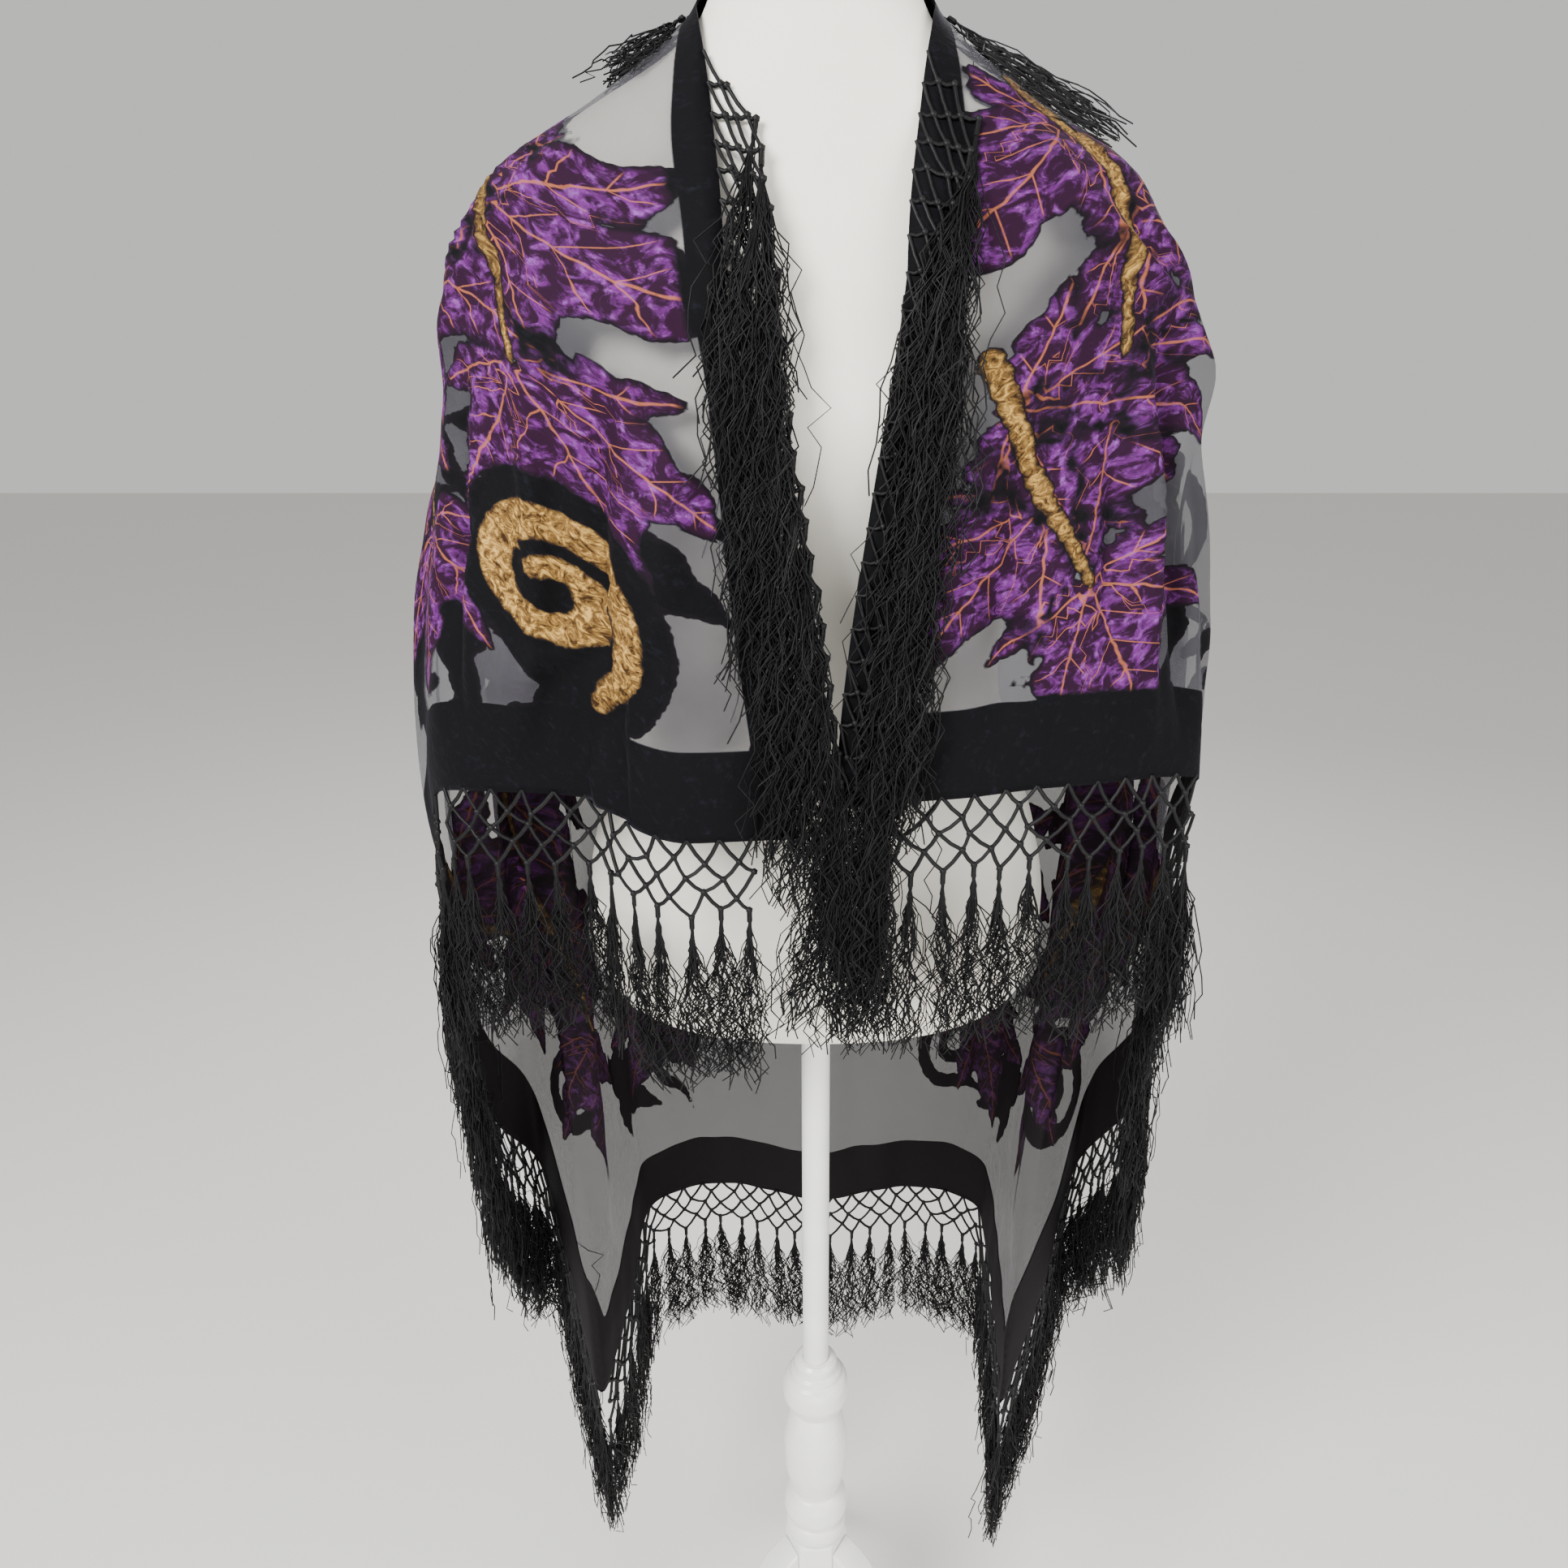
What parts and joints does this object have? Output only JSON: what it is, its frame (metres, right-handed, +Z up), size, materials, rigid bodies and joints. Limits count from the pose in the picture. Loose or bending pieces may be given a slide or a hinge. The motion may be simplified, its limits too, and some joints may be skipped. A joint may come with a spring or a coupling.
{
  "type": "burnout velvet shawl on a limbless dress form stand",
  "caption": "Sheer shawl with a burnt-out velvet pattern and a knotted fringe, draped as an open cape on a limbless dress form with a post and a turned wooden tripod base.",
  "frame": {"origin": "middle of the whole object's footprint, at floor level", "axes": "+Z up, -Y towards the open front of the shawl, +X to the right seen from the front"},
  "size_m": [0.5424, 0.4014, 1.5923],
  "materials": {
    "burnout_velvet": "sheer silk chiffon with raised black, purple and gold velvet",
    "fringe_yarn": "matt black knotted rayon yarn",
    "form_jersey": "off-white cotton jersey, stretched smooth",
    "painted_cap": "off-white satin",
    "painted_post": "white powder coat, satin",
    "painted_wood": "white gloss paint on turned wood"
  },
  "bodies": {
    "root": {"shawl_front_left": "burnout_velvet", "shawl_side_left": "burnout_velvet", "shawl_back": "burnout_velvet", "shawl_side_right": "burnout_velvet", "shawl_front_right": "burnout_velvet", "fringe_hem_left": "fringe_yarn", "fringe_hem_right": "fringe_yarn", "fringe_side_left": "fringe_yarn", "fringe_side_right": "fringe_yarn", "fringe_back": "fringe_yarn", "fringe_edge_left": "fringe_yarn", "fringe_edge_right": "fringe_yarn", "fringe_neck": "fringe_yarn", "dress_form": "form_jersey", "neck_cap": "painted_cap", "post": "painted_post", "baluster": "painted_wood", "base_hub": "painted_wood", "leg_front_left": "painted_wood", "leg_front_right": "painted_wood", "leg_back": "painted_wood"}
  },
  "joints": []
}
